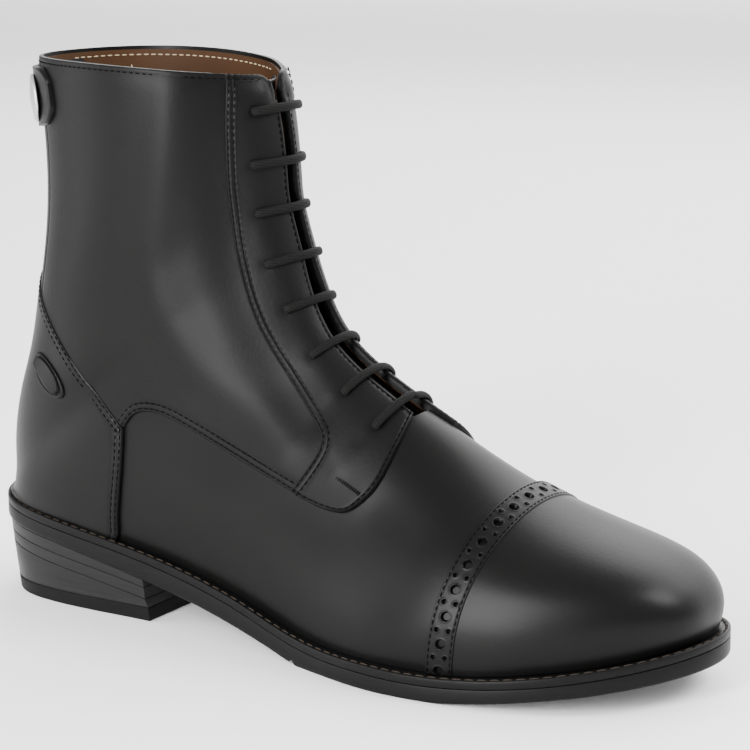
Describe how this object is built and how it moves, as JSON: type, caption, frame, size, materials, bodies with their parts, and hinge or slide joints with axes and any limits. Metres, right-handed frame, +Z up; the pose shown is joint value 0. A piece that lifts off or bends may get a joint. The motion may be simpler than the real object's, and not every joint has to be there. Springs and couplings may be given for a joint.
{
  "type": "lace-up ankle boot",
  "caption": "Hollow leather ankle boot with toe cap, laced facings, a zip and snap tab up the back, welted sole and stacked heel; worn on the right foot for riding and yard work.",
  "frame": {"origin": "on the floor under the middle of the sole's length and width", "axes": "+X to the toe, +Y to the inner (big-toe) side of the foot, +Z up"},
  "size_m": [0.302, 0.1064, 0.2115],
  "materials": {
    "black_leather": "smooth, half gloss",
    "tan_leather": "matt lining leather",
    "heel_stack": "inked and polished edge",
    "sole_rubber": "matt",
    "black_cord": "matt woven cord and tape",
    "satin_metal": "satin"
  },
  "bodies": {
    "root": {"outsole": "sole_rubber", "welt": "black_leather", "insole": "tan_leather", "heel_block": "heel_stack", "heel_top_lift": "sole_rubber", "upper": "black_leather", "tongue": "black_leather", "toe_cap": "black_leather", "counter": "black_leather", "quarter_lateral": "black_leather", "quarter_medial": "black_leather", "facing_lateral": "black_leather", "facing_medial": "black_leather", "back_zip": "black_cord", "snap_tab": "black_leather", "snap_button": "satin_metal", "spur_rest_lateral": "black_leather", "spur_rest_medial": "black_leather", "lace_bar_1": "black_cord", "lace_bar_2": "black_cord", "lace_bar_3": "black_cord", "lace_bar_4": "black_cord", "lace_bar_5": "black_cord", "lace_bar_6": "black_cord", "lace_bar_7": "black_cord", "lace_bar_8": "black_cord"}
  },
  "joints": []
}
